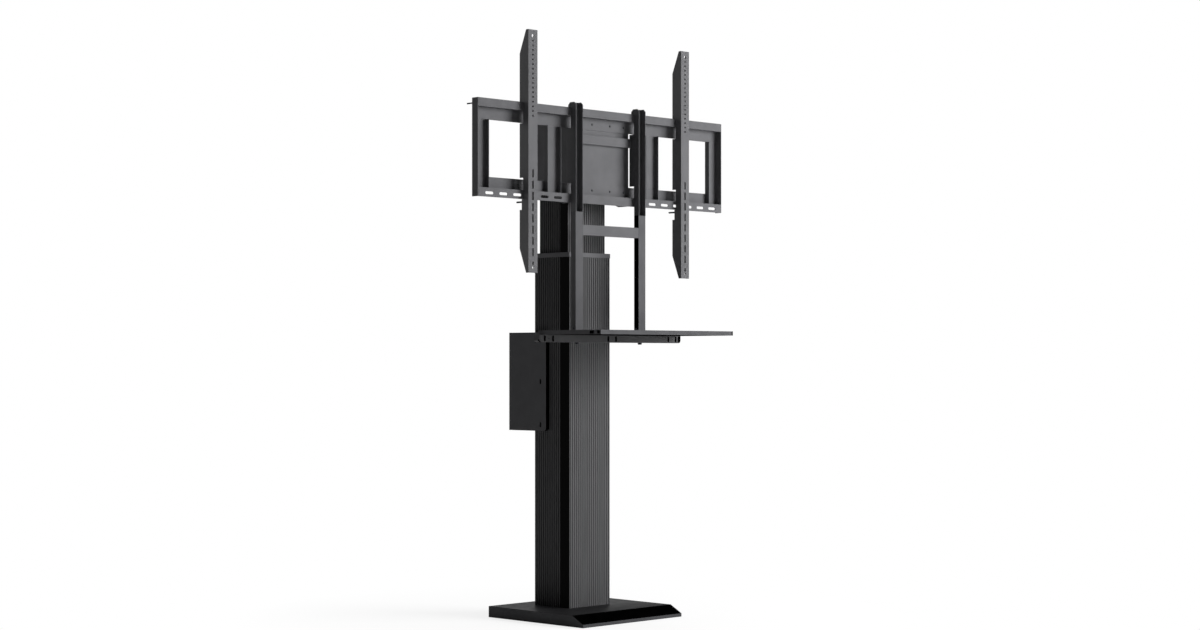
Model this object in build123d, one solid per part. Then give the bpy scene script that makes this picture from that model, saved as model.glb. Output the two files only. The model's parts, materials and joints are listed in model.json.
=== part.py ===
"""Motorized display lift: a floor stand whose column raises a display frame, with a shelf in front.

Millimetres, +Z up. The origin is on the floor, on the axis of the column.
The front of the stand faces -Y and +X is the viewer's right. The lift is drawn raised.
"""
import os

from build123d import *

# Whole-stand sizes
column_top_z = 1300.0
frame_top_z = 1799.5
shelf_top_z = 1020.0
run_gap = 0.15
seat_gap = 0.5

# Foot
base_half_width = 249.5
base_front_y = -304.0
base_back_y = 173.5
base_height = 39.7
base_lip_height = 12.0
base_bevel_y = -251.5
base_skin = 2.5
slab_height = 20.0
pad_radius = 20.0
pad_thickness = 3.0
pad_inset = 45.0
flange_thickness = 10.0
flange_margin = 17.0
bolt_inset = 8.2
foot_bolt_radius = 5.0

# Outer column
column_width = 207.4
column_depth = 175.4
column_wall = 5.0
column_corner = 3.0
flute_pitch = 9.6
flute_width = 4.2
flute_depth = 2.0
side_band = 35.0
collar_height = 16.0
collar_skin = 2.0
collar_lid = 4.0
outer_port_radius = 5.0
inner_port_radius = 7.0
port_bore = 3.3

# Inner column
stage_width = 190.8
stage_depth = 143.0
stage_wall = 4.0
stage_corner = 4.0
stage_band = 32.0
stage_length = 1036.0
stage_top_z = 1796.0
glide_height = 60.0
glide_half_x = 60.0
glide_half_y = 40.0

# Drive
spindle_radius = 10.0
journal_radius = 8.0
bearing_gap = 0.05
spindle_start_z = 118.0
spindle_length = 712.0
journal_length = 24.0
gearbox_height = 60.0
gearbox_half_depth = 36.0
gearbox_left = -45.0
gearbox_right = 88.0
motor_axis_x = 52.0
motor_radius = 31.5
motor_length = 118.0
bracket_thickness = 10.0
bearing_radius = 20.0
nut_radius = 19.0
nut_flange_radius = 26.0
nut_flange = 6.0
nut_length = 40.0
nut_plate = 8.0

# Display frame
sheet = 2.5
frame_half_width = 614.7
frame_front_y = -170.6
frame_depth = 29.0
flange_height = 28.7
top_web_height = 40.1
frame_height = 332.0
bottom_flange_height = 31.0
bottom_web_height = 38.8
end_upright_width = 57.5
inner_upright_near = 214.4
inner_upright_width = 66.0
upright_depth = 18.0
slot_first_x = 239.0
slot_pitch_x = 64.4
slots_a_side = 6
slot_length = 38.0
slot_height = 9.5
tab_length = 26.0
tab_height = 5.0
tab_drop = 16.0

# Head between the inner column and the frame
head_wall = 4.0
head_half_width = 143.0
head_low_z = 1470.0
head_rear_rise = 70.0
head_step_y = -94.0
head_bolt_x = (45.0, 115.0)
head_bolt_radius = 4.0
gusset_x = 62.0
gusset_height = 130.0

# Display arms
arm_half_spacing = 384.5
arm_width = 42.8
arm_front_y = -197.4
arm_back_y = -153.8
arm_top_z = 2046.0
arm_bottom_z = 1216.0
arm_tip_depth = 12.0
arm_top_taper = 80.0
arm_bottom_taper = 83.5
arm_hole_radius = 3.7
arm_hole_pitch = 16.0
arm_hole_count = 17
arm_first_hole_z = 2008.0
arm_eye_z = 2025.0
arm_eye_radius = 5.5
arm_slot_pitch = 38.4
arm_slot_count = 8
arm_slot_length = 29.0
arm_slot_width = 7.0
arm_first_slot_z = 1555.0
arm_short_slot_length = 14.0
arm_tip_hole_z = 1234.0
lock_recess = 10.2
lock_recess_height = 36.0
window_margin = 3.7
hook_drop = 15.0
lock_screw_drop = 7.5
lock_screw_radius = 3.0
lock_screw_end_y = -117.0

# Shelf hangers and posts
post_half_spacing = 158.85
post_width = 35.3
hanger_front_y = -196.1
post_front_y = -194.6
post_wall = 2.0
hanger_low_z = 1435.6
hanger_top_z = 1817.5
hanger_back_y = -148.5
hanger_chamfer = 9.0
hook_finger = 11.0
strap_low_z = 1678.8
strap_height = 32.7
strap_tab = 34.0
crossbar_low_z = 1354.5
crossbar_height = 36.5
crossbar_depth = 20.0
spigot_height = 34.0
side_screw_rise = 9.5
side_screw_radius = 2.5
foot_bolt_shank = 5.0

# Shelf
tray_half_width = 334.3
tray_front_y = -473.0
tray_height = 15.0
tray_sheet = 2.0
tray_rear_box = 40.0
tray_notches = ((5.0, 14.0), (33.0, 22.0))
beam_half_length = 357.0
beam_front_y = -200.0
beam_depth = 27.0
beam_height = 25.5
beam_wall = 2.5
beam_round = 11.0
beam_slot_spread = 19.5
beam_slot_x = 311.0
beam_slot_width = 9.5
beam_slot_height = 21.0
beam_dot_radius = 1.8

# Cover wrapped round the back of the column
cover_half_width = 120.0
cover_front_y = 12.5
cover_back_y = 203.6
cover_low_z = 665.0
cover_high_z = 1017.0
cover_corner = 12.0
cover_sheet = 2.0
cover_slot_y = 40.7
cover_slot_zs = (841.0, 687.0)
cover_slot_height = 18.0
cover_slot_width = 7.0
cover_screw_y = 65.0
cover_screw_z = 984.5
cover_screw_radius = 2.5
carrier_tab_front_y = 50.0
carrier_margin = 12.0
carrier_screw_x = 50.0
unit_inset = 25.0
unit_from_middle = 15.0
unit_rise = 60.0
supply_drop = 40.0
controller_drop = 80.0
controller_behind = 45.0
unit_corner = 4.0
inlet_width = 27.0
inlet_height = 20.0
inlet_length = 24.0

# Sizes that follow from the ones above
frame_back_y = frame_front_y + frame_depth
web_front_y = frame_back_y - sheet
frame_bottom_z = frame_top_z - frame_height
lock_screw_z = frame_bottom_z - lock_screw_drop
ledge_top_z = frame_top_z - flange_height
top_web_low_z = ledge_top_z - top_web_height
bottom_ledge_z = frame_bottom_z + bottom_flange_height
bottom_web_top_z = bottom_ledge_z + bottom_web_height
flange_top_z = slab_height + flange_thickness
gearbox_low_z = flange_top_z + bracket_thickness
gearbox_top_z = gearbox_low_z + gearbox_height
stage_bottom_z = stage_top_z - stage_length
inner_half_x = column_width / 2 - column_wall
inner_half_y = column_depth / 2 - column_wall
head_back_y = stage_depth / 2
column_end_z = column_top_z - collar_lid
tray_back_y = frame_front_y - 1.4
beam_top_z = shelf_top_z - tray_height
beam_low_z = beam_top_z - beam_height
post_axis_y = (post_front_y + tray_back_y) / 2


def block(x0, x1, y0, y1, z0, z1):
    """A box between two corners."""
    solid = Box(abs(x1 - x0), abs(y1 - y0), abs(z1 - z0))
    return Pos((x0 + x1) / 2, (y0 + y1) / 2, (z0 + z1) / 2) * solid


def rod(radius, start, end):
    """A cylinder from one point to another."""
    start = Vector(*start)
    line = Vector(*end) - start
    return extrude(Plane(origin=start, z_dir=line) * Circle(radius), amount=line.length)


def prism_x(points, x0, x1):
    """An outline of (y, z) points drawn out along X."""
    face = make_face(Polyline(*[(x0, y, z) for y, z in points], close=True))
    return extrude(face, amount=x1 - x0, dir=(1, 0, 0))


def group(solids):
    """Separate solids kept as one piece."""
    return Compound(children=list(solids))


def mirrored(shape):
    """The same piece on the other side of the stand."""
    return mirror(shape, about=Plane.YZ)


def screw(seat, direction, shank, radius):
    """A screw whose head stands on the seat point and whose shank runs along the direction."""
    seat = Vector(*seat)
    way = Vector(*direction)
    head = rod(radius * 1.7, seat - way * radius * 1.2, seat)
    return head + rod(radius, seat - way * radius * 0.6, seat + way * shank)


def shank_hole(seat, direction, shank, radius):
    """The room that a screw of the same place and size needs, with its end left open a little."""
    seat = Vector(*seat)
    way = Vector(*direction)
    return rod(radius, seat - way * 0.01, seat + way * (shank + 0.5))


def fluted_outline(width, depth, corner, band):
    """The section of a ribbed extrusion, flutes all round but for a smooth band beside the front corners."""
    across = int((width - 2 * corner - flute_width) // flute_pitch)
    deep = int((depth - band - 2 * corner - flute_width) // flute_pitch)
    flute = Polygon((-flute_width / 2, -1), (flute_width / 2, -1), (flute_width / 3, flute_depth),
                    (-flute_width / 3, flute_depth), align=None)
    cuts = []
    for i in range(across + 1):
        x = (i - across / 2) * flute_pitch
        cuts.append(Pos(x, -depth / 2) * flute)
        cuts.append(Pos(x, depth / 2) * Rot(0, 0, 180) * flute)
    for i in range(deep + 1):
        y = depth / 2 - corner - flute_width - i * flute_pitch
        cuts.append(Pos(-width / 2, y) * Rot(0, 0, -90) * flute)
        cuts.append(Pos(width / 2, y) * Rot(0, 0, 90) * flute)
    return RectangleRounded(width, depth, corner) - cuts


def hollow_extrusion(width, depth, wall, corner, band, port_radius, z0, z1):
    """A ribbed tube with a round screw port in each inner corner."""
    section = fluted_outline(width, depth, corner, band)
    section -= RectangleRounded(width - 2 * wall, depth - 2 * wall, corner)
    port_x = width / 2 - wall - port_radius
    port_y = depth / 2 - wall - port_radius
    half = (port_radius + 1) / 2
    for sx in (-1, 1):
        for sy in (-1, 1):
            section += Pos(sx * port_x, sy * port_y) * Circle(port_radius)
            section += Pos(sx * (port_x + half), sy * (port_y + half)) * Rectangle(2 * half, 2 * half)
            section -= Pos(sx * port_x, sy * port_y) * Circle(port_bore)
    return Pos(0, 0, z0) * extrude(section, amount=z1 - z0), port_x, port_y


def make_base():
    """Folded cover with a bevelled front, the steel slab in it, and pads let into the slab."""
    run = base_bevel_y - base_front_y
    rise = base_height - base_lip_height
    slope = (run ** 2 + rise ** 2) ** 0.5
    outline = [(base_back_y, 0), (base_back_y, base_height), (base_bevel_y, base_height),
               (base_front_y, base_lip_height), (base_front_y, 0)]
    cover = prism_x(outline, -base_half_width, base_half_width)
    inner_top = base_height - base_skin
    inner_back = base_back_y - base_skin
    inner_front = base_front_y + base_skin
    inner_bevel = base_bevel_y + base_skin * (slope - run) / rise
    inner_lip = inner_top - (inner_bevel - inner_front) * rise / run
    inner_half = base_half_width - base_skin
    cavity = [(inner_back, -1), (inner_back, inner_top), (inner_bevel, inner_top), (inner_front, inner_lip),
              (inner_front, -1)]
    cover -= prism_x(cavity, -inner_half, inner_half)
    cover -= block(-column_width / 2, column_width / 2, -column_depth / 2, column_depth / 2,
                   inner_top - 1, base_height + 1)

    slab_front = inner_bevel - (inner_top - slab_height) * run / rise + seat_gap
    slab = block(-inner_half, inner_half, slab_front, inner_back, 0, slab_height)
    pads = []
    for x in (pad_inset - inner_half, inner_half - pad_inset):
        for y in (slab_front + pad_inset, (slab_front + inner_back) / 2, inner_back - pad_inset):
            pad = rod(pad_radius, (x, y, 0), (x, y, pad_thickness))
            slab -= pad
            pads.append(pad)

    half_x = column_width / 2 + flange_margin
    half_y = column_depth / 2 + flange_margin
    flange = block(-half_x, half_x, -half_y, half_y, slab_height, flange_top_z)
    bolts = []
    for x in (bolt_inset - half_x, 0, half_x - bolt_inset):
        for y in (bolt_inset - half_y, half_y - bolt_inset):
            place = ((x, y, flange_top_z), (0, 0, -1), flange_thickness + slab_height * 0.6, foot_bolt_radius)
            flange -= shank_hole(*place)
            slab -= shank_hole(*place)
            bolts.append(screw(*place))
    return {"base_cover": cover, "base_slab": slab, "foot_pads": group(pads), "column_flange": flange,
            "flange_bolts": group(bolts)}


def make_columns():
    """The fixed outer tube with its collar, and the tube that rises out of it."""
    outer = hollow_extrusion(column_width, column_depth, column_wall, column_corner, side_band,
                             outer_port_radius, flange_top_z, column_end_z)[0]
    stage, port_x, port_y = hollow_extrusion(stage_width, stage_depth, stage_wall, stage_corner, stage_band,
                                             inner_port_radius, stage_bottom_z, stage_top_z)
    skirt = extrude(RectangleRounded(column_width + 2 * collar_skin, column_depth + 2 * collar_skin,
                                     column_corner + collar_skin), amount=collar_height)
    skirt -= extrude(RectangleRounded(column_width, column_depth, column_corner),
                     amount=collar_height - collar_lid)
    skirt -= extrude(RectangleRounded(stage_width + 2 * seat_gap, stage_depth + 2 * seat_gap, stage_corner),
                     amount=collar_height + 1)
    collar = Pos(0, 0, column_top_z - collar_height) * skirt

    upper = []
    lower = []
    high = column_end_z
    low = stage_bottom_z
    for s in (-1, 1):
        out_x = s * inner_half_x
        in_x = s * stage_width / 2
        out_y = s * inner_half_y
        in_y = s * stage_depth / 2
        gap = s * run_gap
        upper.append(block(out_x, in_x + gap, -glide_half_y, glide_half_y, high - glide_height, high))
        upper.append(block(-glide_half_x, glide_half_x, out_y, in_y + gap, high - glide_height, high))
        lower.append(block(out_x - gap, in_x, -glide_half_y, glide_half_y, low, low + glide_height))
        lower.append(block(-glide_half_x, glide_half_x, out_y - gap, in_y, low, low + glide_height))
    parts = {"outer_column": outer, "column_collar": collar, "inner_column": stage,
             "upper_glides": group(upper), "lower_glides": group(lower)}
    return parts, port_x, port_y


def make_drive(port_x, port_y):
    """Gear motor in the foot of the column, its spindle, and the nut that lifts the inner tube."""
    bracket = block(gearbox_left - 8, gearbox_right, -gearbox_half_depth - 8, gearbox_half_depth + 8,
                    flange_top_z, gearbox_low_z)
    gearbox = block(gearbox_left, gearbox_right, -gearbox_half_depth, gearbox_half_depth,
                    gearbox_low_z, gearbox_top_z)
    gearbox = fillet(gearbox.edges().filter_by(Axis.Z), 8)
    bore = journal_radius + bearing_gap
    gearbox -= rod(bore, (0, 0, gearbox_top_z - journal_length - 1), (0, 0, gearbox_top_z + 1))
    motor_top = gearbox_top_z + motor_length
    motor = rod(motor_radius, (motor_axis_x, 0, gearbox_top_z), (motor_axis_x, 0, motor_top))
    motor += rod(motor_radius * 0.45, (motor_axis_x, 0, motor_top), (motor_axis_x, 0, motor_top + 6))
    bearing = rod(bearing_radius, (0, 0, gearbox_top_z), (0, 0, spindle_start_z - run_gap))
    bearing -= rod(bore, (0, 0, gearbox_top_z - 1), (0, 0, spindle_start_z + 1))

    spindle = rod(spindle_radius, (0, 0, spindle_start_z), (0, 0, spindle_start_z + spindle_length))
    spindle += rod(spindle_radius + 4, (0, 0, spindle_start_z), (0, 0, spindle_start_z + 6))
    spindle += rod(journal_radius, (0, 0, gearbox_top_z - journal_length), (0, 0, spindle_start_z))

    plate_low = stage_bottom_z - nut_plate
    flange_low = plate_low - nut_flange
    nut = rod(nut_radius, (0, 0, flange_low), (0, 0, flange_low + nut_length))
    nut += rod(nut_flange_radius, (0, 0, flange_low), (0, 0, plate_low))
    nut -= rod(spindle_radius + bearing_gap, (0, 0, flange_low - 1), (0, 0, flange_low + nut_length + 1))
    half_x = stage_width / 2
    half_y = stage_depth / 2
    plate = block(-half_x, half_x, -half_y, half_y, plate_low, stage_bottom_z)
    plate -= rod(nut_radius, (0, 0, plate_low - 1), (0, 0, stage_bottom_z + 1))
    screws = []
    for x in (-port_x, port_x):
        for y in (-port_y, port_y):
            place = ((x, y, plate_low), (0, 0, 1), nut_plate + 18, port_bore)
            plate -= shank_hole(*place)
            screws.append(screw(*place))
    return {"motor_bracket": bracket, "gearbox": gearbox, "drive_motor": motor, "spindle_bearing": bearing,
            "spindle": spindle, "spindle_nut": nut, "nut_plate": plate, "nut_plate_screws": group(screws)}


def make_frame_and_head(port_x, port_y):
    """Two folded rails with end plates and channel uprights, carried by the head on the inner tube."""
    inner_half = frame_half_width - sheet
    behind_top = ledge_top_z + sheet
    behind_bottom = bottom_ledge_z - sheet
    top = [(frame_front_y, frame_top_z), (frame_front_y, ledge_top_z), (web_front_y, ledge_top_z),
           (web_front_y, top_web_low_z), (frame_back_y, top_web_low_z), (frame_back_y, behind_top),
           (frame_front_y + sheet, behind_top), (frame_front_y + sheet, frame_top_z)]
    bottom = [(frame_front_y, frame_bottom_z), (frame_front_y, bottom_ledge_z), (web_front_y, bottom_ledge_z),
              (web_front_y, bottom_web_top_z), (frame_back_y, bottom_web_top_z), (frame_back_y, behind_bottom),
              (frame_front_y + sheet, behind_bottom), (frame_front_y + sheet, frame_bottom_z)]
    top_rail = prism_x(top, -inner_half, inner_half)
    bottom_rail = prism_x(bottom, -inner_half, inner_half)
    face = Plane(origin=(0, frame_front_y - 1, 0), x_dir=(1, 0, 0), z_dir=(0, -1, 0))
    slot_z = frame_bottom_z + bottom_flange_height * 0.44
    for i in range(slots_a_side):
        for s in (-1, 1):
            slot = face * Pos(s * (slot_first_x + i * slot_pitch_x), slot_z) * SlotOverall(slot_length, slot_height)
            bottom_rail -= extrude(slot, amount=-(sheet + 2))

    end = block(inner_half, frame_half_width, frame_front_y, frame_back_y, frame_bottom_z, frame_top_z)
    tab_z = frame_top_z - tab_drop
    end += block(inner_half, frame_half_width, frame_back_y, frame_back_y + tab_length, tab_z - tab_height, tab_z)

    def upright(x0, x1):
        """A channel open to the front: its web fills in between the rails' webs, its flanges go on below."""
        front = web_front_y - upright_depth
        channel = block(x0, x1, front, frame_back_y, bottom_web_top_z, top_web_low_z)
        channel += block(x0, x1, front, web_front_y, bottom_ledge_z, bottom_web_top_z)
        channel -= block(x0 + sheet, x1 - sheet, front - 1, web_front_y, bottom_ledge_z - 1, top_web_low_z + 1)
        return channel

    inner = upright(inner_upright_near, inner_upright_near + inner_upright_width)
    outer = upright(inner_half - end_upright_width, inner_half)

    plate_back = frame_back_y + head_wall
    side = [(frame_back_y, head_low_z), (head_step_y, head_low_z), (head_back_y, head_low_z + head_rear_rise),
            (head_back_y, stage_top_z), (frame_back_y, stage_top_z)]
    head = prism_x(side, -head_half_width, head_half_width)
    head -= block(-head_half_width + head_wall, head_half_width - head_wall, plate_back, head_back_y + 1,
                  head_low_z - 1, stage_top_z + 1)
    lid = block(-head_half_width, head_half_width, frame_back_y, head_back_y, stage_top_z,
                stage_top_z + head_wall)
    gusset = prism_x([(plate_back, stage_top_z), (plate_back, stage_top_z - gusset_height),
                      (head_step_y, stage_top_z)], gusset_x, gusset_x + head_wall)
    stage_screws = []
    for x in (-port_x, port_x):
        for y in (-port_y, port_y):
            place = ((x, y, stage_top_z + head_wall), (0, 0, -1), head_wall + 22, port_bore)
            lid -= shank_hole(*place)
            stage_screws.append(screw(*place))
    rail_bolts = []
    for s in (-1, 1):
        for x in head_bolt_x:
            for z in ((ledge_top_z + top_web_low_z) / 2, (bottom_ledge_z + bottom_web_top_z) / 2):
                place = ((s * x, plate_back, z), (0, -1, 0), head_wall + sheet, head_bolt_radius)
                head -= shank_hole(*place)
                if z > slot_z + frame_height / 2:
                    top_rail -= shank_hole(*place)
                else:
                    bottom_rail -= shank_hole(*place)
                rail_bolts.append(screw(*place))
    return {"top_rail": top_rail, "bottom_rail": bottom_rail, "end_plate_right": end,
            "end_plate_left": mirrored(end), "inner_upright_right": inner, "inner_upright_left": mirrored(inner),
            "end_upright_right": outer, "end_upright_left": mirrored(outer), "head_bracket": head,
            "head_top_plate": lid, "head_gussets": group([gusset, mirrored(gusset)]),
            "stage_screws": group(stage_screws), "rail_bolts": group(rail_bolts)}


def hooked_side(front_y, back_y, gap, above, below):
    """The side of a channel that hooks on both rails: points (y, z) from above them round to below them."""
    inside = frame_front_y - gap
    behind = frame_front_y + sheet + gap
    hook_top = frame_top_z + gap
    window_top = top_web_low_z - window_margin
    window_low = bottom_web_top_z + window_margin
    hook = [(behind, hook_top - hook_drop), (behind, hook_top), (inside, hook_top), (inside, window_top),
            (back_y, window_top), (back_y, window_low), (inside, window_low)]
    return [(front_y, below[-1][1])] + [(front_y, above[0][1])] + above[1:] + hook + below


def make_arms():
    """A display arm: a channel with its web in front that hooks over the rails and slides along them."""
    x0 = arm_half_spacing - arm_width / 2
    x1 = arm_half_spacing + arm_width / 2
    low_z = frame_bottom_z - run_gap
    recess_y = arm_back_y - lock_recess
    recess_z = low_z - lock_recess_height
    above = [(arm_front_y, arm_top_z), (arm_front_y + arm_tip_depth, arm_top_z),
             (arm_back_y, arm_top_z - arm_top_taper), (arm_back_y, frame_top_z - hook_drop + run_gap)]
    below = [(frame_front_y - run_gap, low_z), (recess_y, low_z), (recess_y, recess_z), (arm_back_y, recess_z),
             (arm_back_y, arm_bottom_z + arm_bottom_taper), (arm_front_y + arm_tip_depth, arm_bottom_z)]
    arm = prism_x(hooked_side(arm_front_y, arm_back_y, run_gap, above, below), x0, x1)
    arm -= block(x0 + sheet, x1 - sheet, arm_front_y + sheet, arm_back_y + 1, arm_bottom_z - 1, arm_top_z + 1)
    holes = [(arm_first_hole_z - i * arm_hole_pitch, arm_hole_radius) for i in range(arm_hole_count)]
    for z, radius in holes + [(arm_eye_z, arm_eye_radius), (arm_tip_hole_z, arm_hole_radius)]:
        arm -= rod(radius, (arm_half_spacing, arm_front_y - 1, z), (arm_half_spacing, arm_front_y + sheet + 1, z))
    face = Plane(origin=(arm_half_spacing, arm_front_y - 1, 0), x_dir=(1, 0, 0), z_dir=(0, -1, 0))
    for i in range(arm_slot_count + 1):
        length = arm_slot_length if i < arm_slot_count else arm_short_slot_length
        slot = face * Pos(0, arm_first_slot_z - i * arm_slot_pitch) * Rot(0, 0, 90) * SlotOverall(length, arm_slot_width)
        arm -= extrude(slot, amount=-(sheet + 2))

    plate_y = arm_front_y + sheet + 14
    plate = block(x0 + sheet, x1 - sheet, plate_y, plate_y + 4, lock_screw_z - 10, frame_bottom_z - 1)
    place = ((arm_half_spacing, plate_y, lock_screw_z), (0, 1, 0), lock_screw_end_y - plate_y, lock_screw_radius)
    plate -= shank_hole(*place)
    lock = screw(*place)
    return {"display_arm_right": arm, "display_arm_left": mirrored(arm), "lock_plate_right": plate,
            "lock_plate_left": mirrored(plate), "lock_screw_right": lock, "lock_screw_left": mirrored(lock)}


def make_hangers():
    """Open-fronted channels hooked on the rails, and the closed posts that hang the shelf from them."""
    x0 = post_half_spacing - post_width / 2
    x1 = post_half_spacing + post_width / 2
    finger_y = frame_front_y + sheet + hook_finger
    c = hanger_chamfer
    above = [(hanger_front_y, hanger_top_z - c), (hanger_front_y + c, hanger_top_z), (finger_y - c, hanger_top_z),
             (finger_y, hanger_top_z - c), (finger_y, frame_top_z - hook_drop)]
    below = [(frame_front_y, frame_bottom_z), (tray_back_y, frame_bottom_z), (tray_back_y, hanger_low_z)]
    hanger = prism_x(hooked_side(hanger_front_y, hanger_back_y, 0, above, below), x0, x1)
    web_y = tray_back_y - sheet
    hanger -= block(x0 + sheet, x1 - sheet, hanger_front_y - 1, web_y, hanger_low_z - 1, hanger_top_z + 1)
    hanger -= block(x0 + sheet, x1 - sheet, tray_back_y, hanger_back_y + 1 + hook_finger, hanger_low_z - 1, hanger_top_z + 1)

    post = block(x0, x1, post_front_y, tray_back_y, shelf_top_z, hanger_low_z)
    post -= block(x0 + post_wall, x1 - post_wall, post_front_y + post_wall, tray_back_y - post_wall,
                  shelf_top_z - 1, hanger_low_z + 1)
    spigot = block(x0 + post_wall, x1 - post_wall, post_front_y + post_wall, tray_back_y - post_wall,
                   shelf_top_z, shelf_top_z + spigot_height)
    strap_top_z = strap_low_z + strap_height
    strap = block(-x0, x0, arm_back_y - sheet, arm_back_y, strap_low_z, strap_top_z)
    strap += block(-x0, x0, arm_back_y - sheet, frame_back_y, strap_top_z - sheet, strap_top_z)
    for s in (-1, 1):
        strap += block(s * x0, s * (x0 - sheet), arm_back_y - strap_tab, arm_back_y, strap_low_z, strap_top_z)
    crossbar = block(-x0, x0, post_front_y, post_front_y + crossbar_depth, crossbar_low_z,
                     crossbar_low_z + crossbar_height)
    crossbar -= block(-x0 - 1, x0 + 1, post_front_y + post_wall, post_front_y + crossbar_depth - post_wall,
                      crossbar_low_z + post_wall, crossbar_low_z + crossbar_height - post_wall)
    screws = []
    z = shelf_top_z + side_screw_rise
    for s in (-1, 1):
        for edge, way in ((s * x0, s), (s * x1, -s)):
            place = ((edge, post_axis_y, z), (way, 0, 0), 10, side_screw_radius)
            cut = shank_hole(*place)
            screws.append(screw(*place))
            if s == 1:
                post -= cut
                spigot -= cut
    foot_bolts = []
    bolt_length = spigot_height * 0.6 + shelf_top_z - beam_low_z
    for s in (-1, 1):
        place = ((s * post_half_spacing, post_axis_y, beam_low_z), (0, 0, 1), bolt_length, foot_bolt_shank)
        foot_bolts.append(place)
        if s == 1:
            spigot -= shank_hole(*place)
    return {"hanger_right": hanger, "hanger_left": mirrored(hanger), "post_right": post,
            "post_left": mirrored(post), "post_spigot_right": spigot, "post_spigot_left": mirrored(spigot),
            "hanger_strap": strap, "post_crossbar": crossbar,
            "post_foot_screws": group(screws)}, foot_bolts


def make_shelf(foot_bolts):
    """A folded tray with a boxed rear edge, and the beam that the posts carry it on."""
    low = beam_top_z
    tray = block(-tray_half_width, tray_half_width, tray_front_y, tray_back_y, low, shelf_top_z)
    cavity_top = shelf_top_z - tray_sheet
    inner = tray_half_width - tray_sheet
    rear_wall = tray_back_y - tray_rear_box
    tray -= block(-inner, inner, tray_front_y + tray_sheet, rear_wall, low - 1, cavity_top)
    tray -= block(-inner, inner, rear_wall + tray_sheet, tray_back_y - tray_sheet, low + tray_sheet, cavity_top)
    for s in (-1, 1):
        for start, length in tray_notches:
            y = tray_front_y + start
            tray -= block(s * (tray_half_width + 1), s * (inner - 1), y, y + length, low + tray_sheet, cavity_top)

    beam_back_y = beam_front_y + beam_depth
    beam = block(-beam_half_length, beam_half_length, beam_front_y, beam_back_y, beam_low_z, beam_top_z)
    beam = fillet(beam.edges().filter_by(Axis.Y).group_by(Axis.Z)[0], beam_round)
    beam -= block(-beam_half_length + beam_round, beam_half_length - beam_round, beam_front_y + beam_wall,
                  beam_back_y - beam_wall, beam_low_z + beam_wall, beam_top_z - beam_wall)
    middle_z = (beam_low_z + beam_top_z) / 2
    face = Plane(origin=(0, beam_front_y - 1, 0), x_dir=(1, 0, 0), z_dir=(0, -1, 0))
    slot = Rot(0, 0, 90) * SlotOverall(beam_slot_height, beam_slot_width)
    for centre in (-beam_slot_x, 0, beam_slot_x):
        for side in (-1, 1):
            cut = face * Pos(centre + side * beam_slot_spread, middle_z) * slot
            beam -= extrude(cut, amount=-(beam_wall + 1.5))
        if centre:
            beam -= rod(beam_dot_radius, (centre, beam_front_y - 1, middle_z), (centre, beam_front_y + beam_wall + 0.5, middle_z))
    sleeves = []
    bolts = []
    for place in foot_bolts:
        hole = shank_hole(*place)
        beam -= hole
        tray -= hole
        x = place[0][0]
        sleeve = rod(foot_bolt_shank + 1.2, (x, post_axis_y, beam_low_z + beam_wall), (x, post_axis_y, beam_top_z - beam_wall))
        sleeves.append(sleeve - hole)
        upper = rod(foot_bolt_shank + 1.2, (x, post_axis_y, low + tray_sheet), (x, post_axis_y, cavity_top))
        sleeves.append(upper - hole)
        bolts.append(screw(*place))
    return {"shelf_tray": tray, "shelf_beam": beam, "shelf_sleeves": group(sleeves), "shelf_bolts": group(bolts)}


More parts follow.
